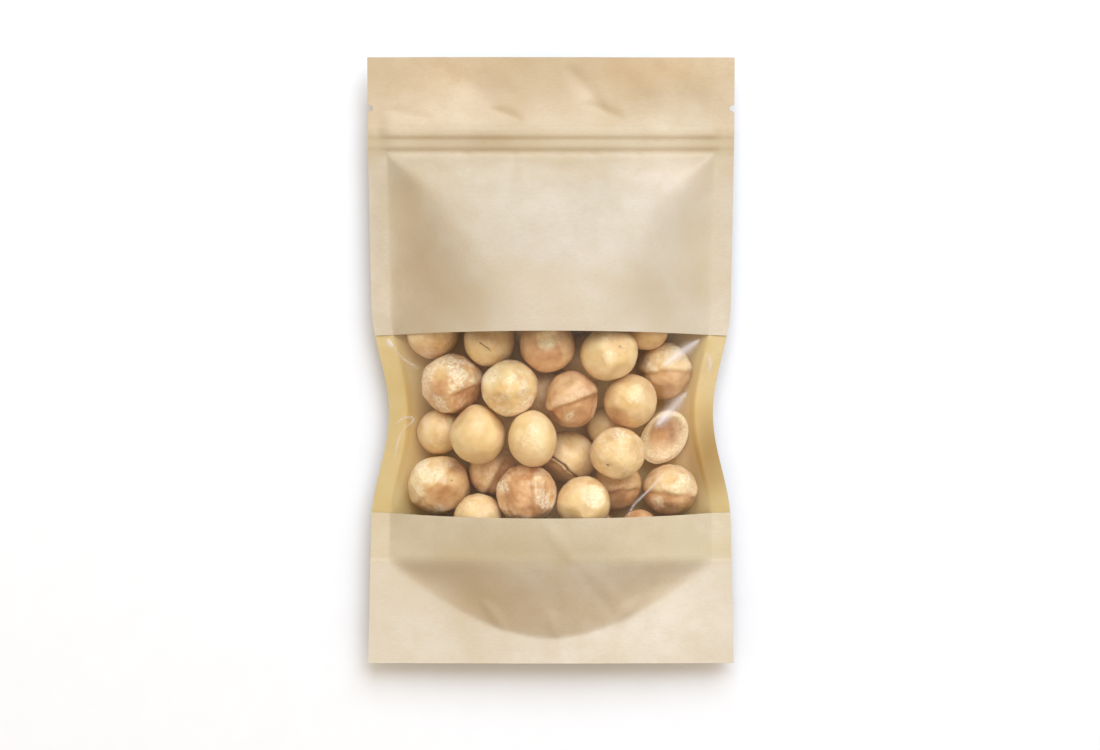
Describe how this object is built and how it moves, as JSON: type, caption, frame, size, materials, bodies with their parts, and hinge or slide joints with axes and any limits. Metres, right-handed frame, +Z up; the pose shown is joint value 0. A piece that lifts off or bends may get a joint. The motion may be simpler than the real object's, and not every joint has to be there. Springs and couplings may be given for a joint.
{
  "type": "stand-up pouch of macadamia kernels",
  "caption": "Sealed kraft stand-up pouch with a full-width clear window, zip, tear notches and folded gusset, lying flat and filled with shelled macadamia kernels.",
  "frame": {"origin": "middle of the underside, on the surface the pouch lies on", "axes": "+X across the pouch, +Y from the gusset end to the zip end, +Z up, out of the window"},
  "size_m": [0.11, 0.1816, 0.0361],
  "materials": {
    "kraft_laminate": "matte",
    "clear_film": "gloss",
    "zip_plastic": "satin",
    "kernel": "satin"
  },
  "bodies": {
    "root": {"front_film": "clear_film", "front_kraft_upper": "kraft_laminate", "front_kraft_lower": "kraft_laminate", "back_panel": "kraft_laminate", "bottom_gusset": "kraft_laminate", "zip_groove_strip": "zip_plastic", "zip_rib_strip": "zip_plastic", "kernel_01": "kernel", "kernel_02": "kernel", "kernel_03": "kernel", "kernel_04": "kernel", "kernel_05": "kernel", "kernel_06": "kernel", "kernel_07": "kernel", "kernel_08": "kernel", "kernel_09": "kernel", "kernel_10": "kernel", "kernel_11": "kernel", "kernel_12": "kernel", "kernel_13": "kernel", "kernel_14": "kernel", "kernel_15": "kernel", "kernel_16": "kernel", "kernel_17": "kernel", "kernel_18": "kernel", "kernel_19": "kernel", "kernel_20": "kernel", "kernel_21": "kernel", "kernel_22": "kernel", "kernel_23": "kernel", "kernel_24": "kernel", "kernel_25": "kernel", "kernel_26": "kernel", "kernel_27": "kernel", "kernel_28": "kernel", "kernel_29": "kernel", "kernel_30": "kernel", "kernel_31": "kernel", "kernel_32": "kernel", "kernel_33": "kernel", "kernel_34": "kernel", "kernel_35": "kernel", "kernel_half": "kernel"}
  },
  "joints": []
}
